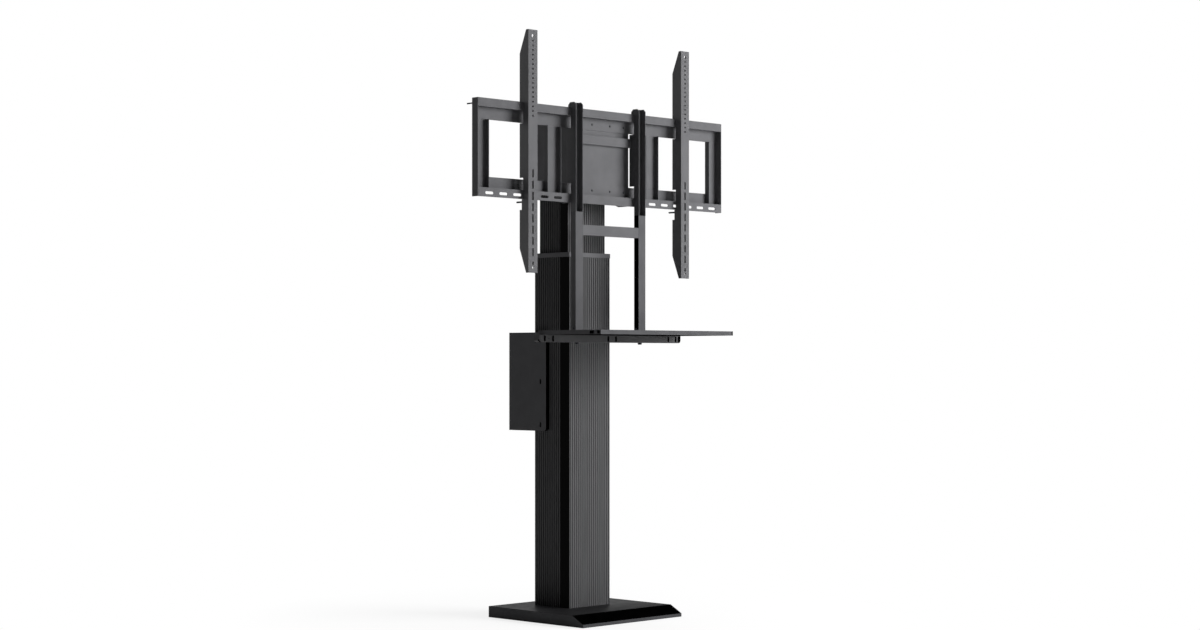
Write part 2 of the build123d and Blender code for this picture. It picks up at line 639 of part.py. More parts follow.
def make_rear_unit():
    """A cover round the back of the column, the carrier that holds it, and the electrics in it."""
    wall = cover_half_width
    back = column_depth / 2
    cover = block(-wall, wall, cover_front_y, cover_back_y, cover_low_z, cover_high_z)
    corners = cover.edges().filter_by(Axis.X).group_by(Axis.Z)[0].sort_by(Axis.Y)
    cover = fillet(corners[:1], cover_corner)
    room_wall = wall - cover_sheet
    cover -= block(-room_wall, room_wall, cover_front_y + cover_sheet, cover_back_y - cover_sheet,
                   cover_low_z + cover_sheet, cover_high_z - cover_sheet)
    cover -= block(-column_width / 2, column_width / 2, cover_front_y - 1, back, cover_low_z - 1, cover_high_z + 1)
    face = Plane(origin=(-wall - 1, 0, 0), x_dir=(0, 1, 0), z_dir=(1, 0, 0))
    slot = Rot(0, 0, 90) * SlotOverall(cover_slot_height, cover_slot_width)
    for z in cover_slot_zs:
        cover -= extrude(face * Pos(cover_slot_y, z) * slot, amount=2 * wall + 2)

    low = cover_low_z + cover_sheet + carrier_margin
    high = cover_high_z - cover_sheet - carrier_margin
    plate_back = back + sheet
    carrier = block(-room_wall, room_wall, back, plate_back, low, high)
    for s in (-1, 1):
        carrier += block(s * room_wall, s * (room_wall - sheet), carrier_tab_front_y, plate_back, low, high)
    screws = []
    for s in (-1, 1):
        place = ((s * wall, cover_screw_y, cover_screw_z), (-s, 0, 0), cover_sheet + sheet, cover_screw_radius)
        cover -= shank_hole(*place)
        carrier -= shank_hole(*place)
        screws.append(screw(*place))
    carrier_screws = []
    for x in (-carrier_screw_x, carrier_screw_x):
        for z in (low + 20, high - 20):
            place = ((x, plate_back, z), (0, -1, 0), sheet + column_wall - 1, cover_screw_radius)
            carrier -= shank_hole(*place)
            carrier_screws.append(place)

    room_back = cover_back_y - cover_sheet
    supply = block(unit_inset - room_wall, -unit_from_middle, plate_back, room_back - unit_inset,
                   low + unit_rise, high - supply_drop)
    unit = block(unit_from_middle, room_wall - unit_inset, plate_back, room_back - controller_behind,
                 low + unit_rise, high - controller_drop)
    supply = fillet(supply.edges().filter_by(Axis.Y), unit_corner)
    unit = fillet(unit.edges().filter_by(Axis.Y), unit_corner)
    inlet_y = (plate_back + cover_back_y) / 2
    half_w = inlet_width / 2
    half_h = inlet_height / 2
    inlet_x = -room_wall / 2
    cover -= block(inlet_x - half_w, inlet_x + half_w, inlet_y - half_h, inlet_y + half_h,
                   cover_low_z - 1, cover_low_z + cover_sheet + 1)
    inlet = block(inlet_x - half_w, inlet_x + half_w, inlet_y - half_h, inlet_y + half_h,
                  cover_low_z, cover_low_z + inlet_length)
    inlet += block(inlet_x - half_w - 5, inlet_x + half_w + 5, inlet_y - half_h - 2, inlet_y + half_h + 2,
                   cover_low_z + cover_sheet, cover_low_z + cover_sheet + 3)
    inlet -= block(inlet_x - half_w + 3, inlet_x + half_w - 3, inlet_y - half_h + 3, inlet_y + half_h - 3,
                   cover_low_z - 1, cover_low_z + inlet_length - 4)
    return {"rear_cover": cover, "cover_carrier": carrier, "cover_screws": group(screws),
            "power_supply": supply, "control_unit": unit, "mains_inlet": inlet}, carrier_screws


pieces = {}
pieces.update(make_base())
columns, stage_port_x, stage_port_y = make_columns()
pieces.update(columns)
pieces.update(make_drive(stage_port_x, stage_port_y))
pieces.update(make_frame_and_head(stage_port_x, stage_port_y))
pieces.update(make_arms())
hangers, foot_bolt_places = make_hangers()
pieces.update(hangers)
pieces.update(make_shelf(foot_bolt_places))
rear_unit, carrier_screw_places = make_rear_unit()
pieces.update(rear_unit)
carrier_screws = []
for place in carrier_screw_places:
    pieces["outer_column"] -= shank_hole(*place)
    carrier_screws.append(screw(*place))
pieces["carrier_screws"] = group(carrier_screws)

os.makedirs("parts", exist_ok=True)
for name, shape in pieces.items():
    export_step(shape, "parts/%s.step" % name)
    print(name, round(shape.volume / 1000, 1), "cm3")
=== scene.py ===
# %% [markdown]
# # A motorized display lift
# The stand is a heavy square foot, a ribbed column that holds a second ribbed column, and a wide frame of
# folded sheet that carries two display arms and a small shelf. The CAD model gives every piece its exact
# size and place. This notebook gives the pieces their finish, and models again those whose soft edges,
# screw drives or threads a plain solid can't show.

# %% Load the frame
import json
import math
import bmesh
import bpy
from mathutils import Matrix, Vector


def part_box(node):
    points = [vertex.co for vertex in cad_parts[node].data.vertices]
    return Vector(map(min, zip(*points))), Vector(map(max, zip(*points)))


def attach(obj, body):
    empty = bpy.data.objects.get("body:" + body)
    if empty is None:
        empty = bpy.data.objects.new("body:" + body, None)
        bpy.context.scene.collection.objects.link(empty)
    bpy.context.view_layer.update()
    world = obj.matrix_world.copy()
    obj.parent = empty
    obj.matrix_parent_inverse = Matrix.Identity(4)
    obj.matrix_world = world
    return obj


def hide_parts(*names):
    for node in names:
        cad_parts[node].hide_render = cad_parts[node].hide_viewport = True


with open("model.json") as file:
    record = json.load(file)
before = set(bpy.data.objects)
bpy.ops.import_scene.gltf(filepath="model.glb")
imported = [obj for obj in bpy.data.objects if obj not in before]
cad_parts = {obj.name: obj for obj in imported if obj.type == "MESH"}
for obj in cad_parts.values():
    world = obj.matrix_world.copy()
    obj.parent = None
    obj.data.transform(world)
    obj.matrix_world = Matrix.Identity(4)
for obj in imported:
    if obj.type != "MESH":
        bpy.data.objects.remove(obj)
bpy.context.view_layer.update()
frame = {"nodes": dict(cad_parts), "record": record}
nodes = frame["nodes"]
slot_of = {part["node"]: part["material_slot"] for part in frame["record"]["subparts"]}
MM = 0.001
SIDES = (-1, 1)

# %% [markdown]
# ## Helpers for materials
# A colour is written as it looks on a screen, in sRGB hex, and Blender's shaders want it linear, so one
# function turns it. Another adds a node with its settings and links, and the rest of a material is then a
# short list of such calls. Colour, gloss and relief vary by cloud noise, whose patches have a size in mm.

# %% Colour and node helpers


def linear(code):
    """An sRGB hex colour as linear red, green, blue and alpha."""
    out = []
    for i in (0, 2, 4):
        value = int(code[i:i + 2], 16) / 255
        out.append(value / 12.92 if value <= 0.04045 else ((value + 0.055) / 1.055) ** 2.4)
    return (*out, 1.0)


def add(tree, kind, inputs=None, **settings):
    """Adds one shader node, sets its values, and links those inputs that are given as sockets."""
    node = tree.nodes.new(kind)
    for name, value in settings.items():
        setattr(node, name, value)
    for name, value in (inputs or {}).items():
        if isinstance(value, bpy.types.NodeSocket):
            tree.links.new(value, node.inputs[name])
        else:
            node.inputs[name].default_value = value
    return node


def new_material(name, base, roughness, metallic=0.0, **more):
    """A named material with its Principled shader set to constant values."""
    made = bpy.data.materials.new(name)
    made.use_nodes = True
    tree = made.node_tree
    shader = tree.nodes["Principled BSDF"]
    shader.inputs["Base Color"].default_value = linear(base)
    shader.inputs["Roughness"].default_value = roughness
    shader.inputs["Metallic"].default_value = metallic
    for socket, value in more.items():
        shader.inputs[socket.replace("_", " ")].default_value = value
    place = add(tree, "ShaderNodeTexCoord").outputs["Object"]
    return made, tree, shader, place


def cloud(tree, place, size_mm, detail, stretch):
    """Noise with patches of the given size. A stretch below one draws them out along that axis."""
    spread = add(tree, "ShaderNodeMapping", {"Vector": place, "Scale": stretch})
    noise = add(tree, "ShaderNodeTexNoise", {"Vector": spread.outputs["Vector"], "Scale": 1000 / size_mm,
                                             "Detail": detail})
    return noise.outputs["Fac"]


def roughen(tree, shader, place, size_mm, low, high, stretch=(1, 1, 1)):
    """Lets the gloss wander between two roughness values over patches of the given size."""
    noise = cloud(tree, place, size_mm, 3.0, stretch)
    span = add(tree, "ShaderNodeMapRange", {"Value": noise, "From Min": 0.3, "From Max": 0.7,
                                            "To Min": low, "To Max": high})
    tree.links.new(span.outputs["Result"], shader.inputs["Roughness"])


def tint(tree, shader, place, size_mm, dark, light, stretch=(1, 1, 1)):
    """Lets the colour wander between two close shades over patches of the given size."""
    ramp = add(tree, "ShaderNodeValToRGB", {"Fac": cloud(tree, place, size_mm, 4.0, stretch)})
    ramp.color_ramp.elements[0].position = 0.35
    ramp.color_ramp.elements[0].color = linear(dark)
    ramp.color_ramp.elements[1].position = 0.65
    ramp.color_ramp.elements[1].color = linear(light)
    tree.links.new(ramp.outputs["Color"], shader.inputs["Base Color"])


def grain(tree, shader, place, size_mm, depth_mm, strength, stretch=(1, 1, 1)):
    """Gives the surface a fine relief of the given grain size and height."""
    noise = cloud(tree, place, size_mm, 2.0, stretch)
    bump = add(tree, "ShaderNodeBump", {"Height": noise, "Strength": strength, "Distance": depth_mm * MM})
    tree.links.new(bump.outputs["Normal"], shader.inputs["Normal"])


finishes = {}
print("helpers ready")

# %% [markdown]
# ## Black anodised extrusion
# Both columns are aluminium drawn through a die and then anodised black. The die leaves faint lines along
# the length, and the etch before anodising leaves a silky, slightly grey black. The lines are noise that is
# stretched far along Z, drawn about 1.5 mm wide so that they show. Near the front each side has a smooth
# strip, painted a deeper black as painted shade, and the flutes of the sides are painted darker inside as
# painted shade. The part of the sides that the rear cover hides is painted black as well, a painted shade,
# since the photo shows black through the keyholes of the cover.

# %% Anodised aluminium
OUTER_HALF_WIDTH = 103.7
INNER_HALF_WIDTH = 95.4
# How far under the side's face the painted shade in the flutes reaches, and where it starts.
FLUTE_FLOOR = 3.0
FLUTE_RIM = 0.5
# The painted shade of the black strips takes the side's face and the floor of its flutes, 2 mm under it.
STRIP_DEPTH = 2.3
DIE_LINES = 0.01
FLUTE_SHADE_BLACK = "1C1C1D"
SIDE_SHADE_BLACK = "010101"


def product(tree, first, second):
    """The product of two shares."""
    return add(tree, "ShaderNodeMath", {0: first, 1: second}, operation="MULTIPLY").outputs["Value"]


def between(tree, value, low_mm, high_mm):
    """One where a value in metres lies between two sizes in mm, and zero elsewhere."""
    above = add(tree, "ShaderNodeMath", {0: value, 1: low_mm * MM}, operation="GREATER_THAN")
    below = add(tree, "ShaderNodeMath", {0: value, 1: high_mm * MM}, operation="LESS_THAN")
    return product(tree, above.outputs["Value"], below.outputs["Value"])


def recolour(tree, shader, share, code):
    """Mixes another colour over the base colour where the share is one."""
    mixed = add(tree, "ShaderNodeMix", data_type="RGBA")
    tree.links.new(share, mixed.inputs["Factor"])
    tree.links.new(shader.inputs["Base Color"].links[0].from_socket, mixed.inputs["A"])
    mixed.inputs["B"].default_value = linear(code)
    tree.links.new(mixed.outputs["Result"], shader.inputs["Base Color"])


def anodised(name, half_width, strip, hidden=None):
    """Anodised extrusion. Its sides carry a smooth strip between two depths in mm, painted a deeper black as
    painted shade.

    The hidden part is a range of depth and one of height in mm, where the sides are painted just as black as
    painted shade."""
    made, tree, shader, place = new_material(name, "4D4D4F", 0.4, Specular_IOR_Level=0.02)
    along = (1, 1, DIE_LINES)
    tint(tree, shader, place, size_mm=1.5, dark="49494A", light="525253", stretch=along)
    roughen(tree, shader, place, size_mm=2.0, low=0.36, high=0.46, stretch=(1, 1, 0.8 * DIE_LINES))
    grain(tree, shader, place, size_mm=1.2, depth_mm=0.02, strength=0.25, stretch=along)
    axes = add(tree, "ShaderNodeSeparateXYZ", {"Vector": place}).outputs
    across = add(tree, "ShaderNodeMath", {0: axes["X"]}, operation="ABSOLUTE").outputs["Value"]
    flutes = between(tree, across, half_width - FLUTE_FLOOR, half_width - FLUTE_RIM)
    # Painted shade: the flutes are darker inside.
    recolour(tree, shader, flutes, FLUTE_SHADE_BLACK)
    side = between(tree, across, half_width - STRIP_DEPTH, half_width + 1)
    # Painted shade: the smooth strip near the front is a deeper black.
    recolour(tree, shader, product(tree, between(tree, axes["Y"], *strip), side), SIDE_SHADE_BLACK)
    # Painted shade: the sides are black where the rear cover hides them.
    if hidden:
        area = product(tree, between(tree, axes["Y"], *hidden[0]), between(tree, axes["Z"], *hidden[1]))
        recolour(tree, shader, product(tree, area, side), SIDE_SHADE_BLACK)
    return made


# The black strips and the black part under the rear cover are painted shade.
finishes["outer_extrusion"] = anodised("black anodised outer extrusion", OUTER_HALF_WIDTH,
                                       strip=(-87.2, -46.0), hidden=((20, 90), (669, 1013)))
finishes["inner_extrusion"] = anodised("black anodised inner extrusion", INNER_HALF_WIDTH,
                                       strip=(-71.0, -36.0))
# The slot that the record gives both columns.
finishes["black_aluminium"] = finishes["outer_extrusion"]
print(finishes["outer_extrusion"].name, "and", finishes["inner_extrusion"].name)

# %% [markdown]
# ## Black powder coat
# The folded sheet is sprayed with dry powder that melts into a skin in the oven. It flows into small soft
# hills, called orange peel, about 2 mm across, and that gives a satin surface with a wide, quiet highlight.
# Each group of pieces has its own shade, as matched to the photo. The darker shades of the shelf and the
# posts are painted shade, and that of the beam is a painted shadow of the tray.

# %% Powder coats


def powder_coat(name, dark, light, low, high, level):
    """A powder coat between two close shades and two roughness values, with its orange peel."""
    made, tree, shader, place = new_material(name, light, high, Specular_IOR_Level=level)
    tint(tree, shader, place, size_mm=60.0, dark=dark, light=light)
    roughen(tree, shader, place, size_mm=35.0, low=low, high=high)
    grain(tree, shader, place, size_mm=2.2, depth_mm=0.05, strength=0.35)
    return made


# Name, dark and light shade, lowest and highest roughness, specular level.
coats = {
    "black_steel": ("satin black powder coat", "4F4F51", "545456", 0.40, 0.44, 0.12),
    "base_black": ("fine black powder coat of the foot", "1B1B1C", "1F1F20", 0.40, 0.46, 0.012),
    # The foot's sides take a lighter shade than its top as painted light.
    "foot_side": ("foot coat with painted light on its sides", "363638", "3A3A3C", 0.40, 0.46, 0.085),
    "cover_coat": ("black powder coat of the rear cover", "404042", "444446", 0.40, 0.44, 0.11),
    # The shelf's darker shade is painted shade.
    "shelf_coat": ("black powder coat with painted shade on the shelf", "404042", "454547", 0.40, 0.44, 0.12),
    # The posts' darker shade is painted shade.
    "post_coat": ("black powder coat with painted shade on the posts", "454547", "4A4A4C", 0.40, 0.44, 0.12),
    "arm_coat": ("black powder coat of the arms", "4B4B4D", "505052", 0.40, 0.44, 0.30),
    # The beam's darker shade is a painted shadow of the tray.
    "beam_coat": ("black powder coat with painted shadow on the beam", "39393A", "3E3E3F", 0.40, 0.44, 0.12),
    # A black that is painted where shade falls: on edges, ends, undersides and insides.
    "matt_black": ("black of painted shade", "010101", "030303", 0.6, 0.7, 0.0),
    "raw_steel": ("grey primer", "55565A", "5F6064", 0.62, 0.74, 0.4),
}
for slot, values in coats.items():
    finishes[slot] = powder_coat(*values)
print([finishes[slot].name for slot in coats])

# %% [markdown]
# ## Screws, spindle and nut
# Zinc plating is bright and a little blue, with grey clouds from the bath. Black oxide is a thin conversion
# of the steel itself, so it stays metallic and dark. The spindle is rolled and oiled steel, and the nut is
# machined bronze with fine turning rings.

# %% Metals


def plated(name, dark, light, low, high, size_mm, stretch=(1, 1, 1)):
    """A metal between two close shades whose gloss wanders."""
    made, tree, shader, place = new_material(name, light, low, metallic=1.0)
    tint(tree, shader, place, size_mm, dark, light, stretch)
    roughen(tree, shader, place, size_mm, low, high, stretch)
    grain(tree, shader, place, size_mm=0.8, depth_mm=0.01, strength=0.2, stretch=stretch)
    return made


# Name, dark and light shade, lowest and highest roughness, size of the patches in mm, and their stretch.
metals = {
    "zinc_fasteners": ("zinc plated steel", "8E9499", "B3B8BC", 0.28, 0.42, 4.0),
    "black_fasteners": ("black oxide steel", "26272A", "34353A", 0.36, 0.5, 4.0),
    "ground_steel": ("rolled steel", "85888C", "A6A9AC", 0.2, 0.32, 3.0, (1, 1, 0.2)),
    "bronze": ("machined bronze", "8A6433", "A67C45", 0.24, 0.36, 1.0, (0.2, 0.2, 2)),
    "gear_case": ("die cast alloy", "77797C", "8F9194", 0.45, 0.6, 6.0),
}
for slot, values in metals.items():
    finishes[slot] = plated(*values)
print([finishes[slot].name for slot in metals])

# %% [markdown]
# ## Plastics, rubber and enamel
# The guides are natural polyacetal, which is milky and lets a little light in. The pads are moulded rubber,
# the motor has a glossy enamel, and the electric boxes are ABS from a sparked mould, whose fine grit is
# drawn here at about 0.6 mm.

# %% Plastics and rubber


def moulded(name, dark, light, low, high, grit_mm, level=0.5):
    """A moulded piece with a fine grit from its tool."""
    made, tree, shader, place = new_material(name, light, high, Specular_IOR_Level=level)
    tint(tree, shader, place, size_mm=25.0, dark=dark, light=light)
    roughen(tree, shader, place, size_mm=12.0, low=low, high=high)
    grain(tree, shader, place, size_mm=grit_mm, depth_mm=0.03, strength=0.3)
    return made


# Name, dark and light shade, lowest and highest roughness, grit in mm, and specular level.
plastics = {
    "pads": ("moulded rubber", "121212", "191919", 0.7, 0.85, 0.8, 0.3),
    "glides": ("natural polyacetal", "C9C8C0", "DAD9D2", 0.32, 0.42, 2.0),
    "motor_case": ("black motor enamel", "1A1A1D", "222226", 0.25, 0.35, 2.5),
    "electronics_case": ("textured ABS", "202022", "28282B", 0.5, 0.62, 0.6),
    "inlet_black": ("moulded nylon", "141414", "1C1C1C", 0.4, 0.5, 1.0),
}
for slot, values in plastics.items():
    finishes[slot] = moulded(*values)
missing = sorted(set(slot_of.values()) - set(finishes))
print("slots without a finish:", missing)

# %% [markdown]
# ## A finish for every piece
# The record names a slot for each node, and most nodes take the finish of their slot. In the photo some sheet
# pieces are a little lighter or darker than others of the same coat, so these have a shade of their own; the
# darker ones of the shelf, the posts and the beam are painted shade.

# %% Give every CAD node its finish
own_finish = {
    "outer_column": "outer_extrusion",
    "inner_column": "inner_extrusion",
    "rear_cover": "cover_coat",
    # The carrier is painted black all over as painted shade.
    "cover_carrier": "matt_black",
    # The beam, the shelf and the posts take darker shades as painted shade.
    "shelf_beam": "beam_coat",
    "shelf_tray": "shelf_coat",
    "post_left": "post_coat",
    "post_right": "post_coat",
    "display_arm_left": "arm_coat",
    "display_arm_right": "arm_coat",
}


def finish_of(node):
    """The material that a node takes: one of its own, or that of its slot."""
    return finishes[own_finish.get(node, slot_of[node])]


for name, node in nodes.items():
    node.data.materials.clear()
    node.data.materials.append(finish_of(name))
print("dressed", len(nodes), "nodes")

# %% [markdown]
# ## Helpers for modelling
# New pieces are made as a modeller makes them by hand: a primitive is set to its size, shaped in edit mode
# and finished with modifiers. The helpers below choose faces or edges by their place, soften edges, and stand
# a piece in for its CAD node. Sizes are written in millimetres and turned to metres where they are used.

# %% Modelling helpers
# Two places nearer than this in mm count as one.
NEAR = 0.01
# Faces nearer than this in mm to the outside of a piece are not inside it.
MARGIN = 1.0
FINE_MARGIN = 0.4
# A face as near as this in mm to a cut still counts as beyond it.
CUT_SLACK = 0.1
# A face looks along an axis when its normal has more than this share on it.
FACING = 0.9
# Points round the circles that are seen as smooth.
ROUND_POINTS = 48


def in_mm(corners):
    """The two corners of a box that is given in metres, in mm."""
    return [corner / MM for corner in corners]


def only(obj):
    """Makes this object the one that operators act on."""
    bpy.ops.object.select_all(action="DESELECT")
    obj.select_set(True)
    bpy.context.view_layer.objects.active = obj


def box(name, x0, x1, y0, y1, z0, z1):
    """A cube that is stretched between two corners in edit mode, so that its object stays at the origin."""
    bpy.ops.object.select_all(action="DESELECT")
    bpy.ops.mesh.primitive_cube_add(size=1, location=(0, 0, 0))
    made = bpy.context.object
    made.name = name
    bpy.ops.object.mode_set(mode="EDIT")
    bpy.ops.transform.resize(value=((x1 - x0) * MM, (y1 - y0) * MM, (z1 - z0) * MM))
    bpy.ops.transform.translate(value=((x0 + x1) / 2 * MM, (y0 + y1) / 2 * MM, (z0 + z1) / 2 * MM))
    bpy.ops.object.mode_set(mode="OBJECT")
    return made


def pick_faces(obj, test):
    """In edit mode, selects the faces whose centre in mm and normal pass a test."""
    bpy.ops.mesh.select_mode(type="FACE")
    bpy.ops.mesh.select_all(action="DESELECT")
    shape = bmesh.from_edit_mesh(obj.data)
    for face in shape.faces:
        if test(face.calc_center_median() / MM, face.normal):
            face.select_set(True)
    bmesh.update_edit_mesh(obj.data)


def pick_edges(obj, test):
    """In edit mode, selects the edges whose two ends in mm pass a test."""
    bpy.ops.mesh.select_mode(type="EDGE")
    bpy.ops.mesh.select_all(action="DESELECT")
    shape = bmesh.from_edit_mesh(obj.data)
    for edge in shape.edges:
        if test(edge.verts[0].co / MM, edge.verts[1].co / MM):
            edge.select_set(True)
    bmesh.update_edit_mesh(obj.data)


def cut(point, normal):
    """In edit mode, cuts new edges into the whole mesh along a plane through a point in mm."""
    bpy.ops.mesh.select_all(action="SELECT")
    bpy.ops.mesh.bisect(plane_co=[v * MM for v in point], plane_no=normal)


def apply_modifier(obj, kind, **settings):
    """Adds one modifier with its settings and applies it."""
    only(obj)
    modifier = obj.modifiers.new(kind.lower(), kind)
    for name, value in settings.items():
        setattr(modifier, name, value)
    bpy.ops.object.modifier_apply(modifier=modifier.name)


def soften(obj, width, steps=2, angle=35):
    """Rounds the sharp edges. Hardened normals keep the flat faces flat beside them."""
    only(obj)
    bpy.ops.object.shade_smooth_by_angle(angle=math.radians(angle))
    apply_modifier(obj, "BEVEL", width=width * MM, segments=steps, limit_method="ANGLE",
                   angle_limit=math.radians(angle), use_clamp_overlap=True, harden_normals=True)


def close_mesh(angle):
    """Turns all faces outwards, leaves edit mode and smooths what meets under less than an angle."""
    bpy.ops.mesh.select_all(action="SELECT")
    bpy.ops.mesh.normals_make_consistent(inside=False)
    bpy.ops.object.mode_set(mode="OBJECT")
    bpy.ops.object.shade_smooth_by_angle(angle=math.radians(angle))


def stand_in(obj, node, finish=None):
    """The piece takes the place, the body and the finish slot of a CAD node."""
    body = next(b for b, names in frame["record"]["behaviour"]["bodies"].items() if node in names)
    obj.name = node + "_detailed"
    if not obj.data.materials:
        obj.data.materials.append(finish or finish_of(node))
    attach(obj, body)
    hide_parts(node)


def paint(obj, finish, test):
    """Gives a second finish to the faces whose centre in mm and normal pass a test."""
    obj.data.materials.append(finish)
    last = len(obj.data.materials) - 1
    count = 0
    for face in obj.data.polygons:
        if test(face.center / MM, face.normal):
            face.material_index = last
            count += 1
    print(obj.name, "has", count, "faces in", finish.name)


print("modelling helpers ready")

# %% [markdown]
# ## Folded sheet
# Rails, arms, hangers, posts, shelf and covers are sheet steel, cut, folded and then coated, and the coat
# runs a little round every edge. A plain solid has edges without any radius, which catch no light. A copy of
# each solid has its loose triangles merged into whole faces first, and a small bevel then rounds the edges.

# %% Soften the folded pieces
EDGE_RADIUS = 0.9
WIDE_RADIUS = 0.95
# Points closer than this in mm are merged, and so are faces that meet under less than this in degrees.
MERGE_GAP = 0.02
MERGE_ANGLE = 0.3


def folded(node, width, steps=2, cuts=()):
    """A copy of a CAD piece whose triangles are merged to whole faces and whose edges are rounded.

    Each cut is a point in mm and a normal, and lets a part of the piece take another finish."""
    mesh = nodes[node].data.copy()
    made = bpy.data.objects.new(node + "_copy", mesh)
    bpy.context.scene.collection.objects.link(made)
    only(made)
    bpy.ops.mesh.customdata_custom_splitnormals_clear()
    bpy.ops.object.mode_set(mode="EDIT")
    bpy.ops.mesh.select_all(action="SELECT")
    bpy.ops.mesh.remove_doubles(threshold=MERGE_GAP * MM)
    bpy.ops.mesh.dissolve_limited(angle_limit=math.radians(MERGE_ANGLE))
    for point, normal in cuts:
        cut(point, normal)
    bpy.ops.object.mode_set(mode="OBJECT")
    soften(made, width, steps)
    stand_in(made, node)
    print(node, len(made.data.polygons), "faces")
    return made


sheet_pieces = ["top_rail", "bottom_rail", "end_plate_left", "end_plate_right", "end_upright_left",
                "end_upright_right", "inner_upright_left", "inner_upright_right", "display_arm_left",
                "display_arm_right", "hanger_left", "hanger_right", "hanger_strap", "head_bracket"]
for node in sheet_pieces:
    folded(node, EDGE_RADIUS)
folded("post_crossbar", WIDE_RADIUS, steps=3)

# %% [markdown]
# ## Rear cover
# The cover's left side is a plain grey in the photo, but its front edge, its lower edge and the keyholes in
# it are black lines, so those faces and its inside are painted black as painted shade. The carrier behind the
# cover is painted black all over as painted shade too.

# %% Rear cover
cover = folded("rear_cover", WIDE_RADIUS, steps=3)
low, high = in_mm(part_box("rear_cover"))


def cover_in_painted_shade(centre, normal):
    """The front and lower edges, the walls of the keyholes and the inside, which are painted black as painted
    shade.
    """
    inside = centre.y < high.y - MARGIN and low.z + MARGIN < centre.z < high.z - MARGIN
    return normal.y < -0.5 or normal.z < -0.3 or inside and abs(centre.x) < high.x - FINE_MARGIN


# Painted shade: the edges, the keyholes and the inside are black.
paint(cover, finishes["matt_black"], cover_in_painted_shade)

# %% [markdown]
# ## Posts
# The two posts are closed tubes. In the photo the inner side of the right one is as black as the smooth strip
# on the column's side, so the side of each post that faces the other is painted black as painted shade.

# %% Posts with painted shade on their inner sides
for node, inward in (("post_left", 1), ("post_right", -1)):
    post = folded(node, WIDE_RADIUS, steps=3)
    # Painted shade: the inner side is black.
    paint(post, finishes["matt_black"], lambda centre, normal: normal.x * inward > FACING)

# %% [markdown]
# ## Shelf tray and its beam
# The tray is folded down all round and open below, and the beam is a tube with slots. The photo shows both
# much darker in places: under the tray, inside the slots, on the beam's front corner at the lower left, and
# at the right ends of both. A matt black is painted on those faces as painted shade.

# %% Tray
# The right end of the tray is painted black over this length in mm, as painted shade.
TRAY_END = 6.0
low, high = in_mm(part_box("shelf_tray"))
tray = folded("shelf_tray", WIDE_RADIUS, steps=3, cuts=[((high.x - TRAY_END, 0, 0), (1, 0, 0))])


def tray_in_painted_shade(centre, normal):
    """The faces painted black as painted shade: the undersides, the inside and the right end, but not the
    top.
    """
    inside = low.y + MARGIN < centre.y < high.y - MARGIN and abs(centre.x) < high.x - MARGIN
    at_end = centre.x > high.x - TRAY_END - CUT_SLACK
    return normal.z < -0.5 or centre.z < high.z - MARGIN and (inside or at_end)


# Painted shade: the underside, the inside and the right end are black.
paint(tray, finishes["matt_black"], tray_in_painted_shade)

# %% Beam
# The right end of the beam is painted black over this length in mm, as painted shade.
BEAM_END = 15.0
# The painted shade on the lower left corner reaches this far back from the front.
CORNER_DEPTH = 8.0
# Nearer than this to its ends the beam is solid, so no face there is an inner one.
SOLID_END = 12.0
low, high = in_mm(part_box("shelf_beam"))
beam_cuts = [((high.x - BEAM_END, 0, 0), (1, 0, 0)), ((0, low.y + CORNER_DEPTH, 0), (0, 1, 0))]
beam = folded("shelf_beam", WIDE_RADIUS, steps=3, cuts=beam_cuts)


def beam_in_painted_shade(centre, normal):
    """The faces painted black as painted shade: the right end, the front part of the lower left corner, the
    walls of the slots and the inside.
    """
    at_end = centre.x > high.x - BEAM_END - CUT_SLACK
    at_corner = normal.x < -0.2 and normal.z < -0.2 and centre.y < low.y + CORNER_DEPTH
    across = low.y + FINE_MARGIN < centre.y < high.y - FINE_MARGIN
    upright = low.z + FINE_MARGIN < centre.z < high.z - FINE_MARGIN
    return at_end or at_corner or across and upright and abs(centre.x) < high.x - SOLID_END


# Painted shade: the right end, the lower left corner, the slots and the inside are black.
paint(beam, finishes["matt_black"], beam_in_painted_shade)

# %% [markdown]
# ## Cover of the foot
# The foot is covered by one folded sheet that slopes down to a low lip at the front, and the slope is painted
# black as painted shade. Its sides take a lighter copy of its coat as painted light. It starts as a box. A
# cut across it makes a new edge, the front top edge goes down to the lip, the underside is taken off, four
# more cuts outline the hole for the column, and Solidify gives the shell its wall.

# %% Foot cover
SLOPE_START = -251.5
LIP_HEIGHT = 12.0
FOOT_WALL = 2.5
OUTER_HALF_DEPTH = 87.7
low, high = in_mm(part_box("base_cover"))
foot = box("foot", low.x, high.x, low.y, high.y, low.z, high.z)
bpy.ops.object.mode_set(mode="EDIT")
cut((0, SLOPE_START, 0), (0, 1, 0))
pick_edges(foot, lambda a, b: max(a.y, b.y) < low.y + NEAR and min(a.z, b.z) > high.z - NEAR)
bpy.ops.transform.translate(value=(0, 0, (LIP_HEIGHT - high.z) * MM))
pick_faces(foot, lambda centre, normal: normal.z < -FACING)
bpy.ops.mesh.delete(type="FACE")
for side in SIDES:
    cut((side * OUTER_HALF_WIDTH, 0, 0), (1, 0, 0))
    cut((0, side * OUTER_HALF_DEPTH, 0), (0, 1, 0))
pick_faces(foot, lambda centre, normal: normal.z > FACING and abs(centre.x) < OUTER_HALF_WIDTH
           and abs(centre.y) < OUTER_HALF_DEPTH)
bpy.ops.mesh.delete(type="FACE")
bpy.ops.object.mode_set(mode="OBJECT")
apply_modifier(foot, "SOLIDIFY", thickness=FOOT_WALL * MM, offset=-1, use_even_offset=True)
soften(foot, width=1.1, steps=3)
foot.data.materials.append(finishes["base_black"])
# Painted light: the sides are lighter than the top.
paint(foot, finishes["foot_side"], lambda centre, normal: normal.z < 0.5)
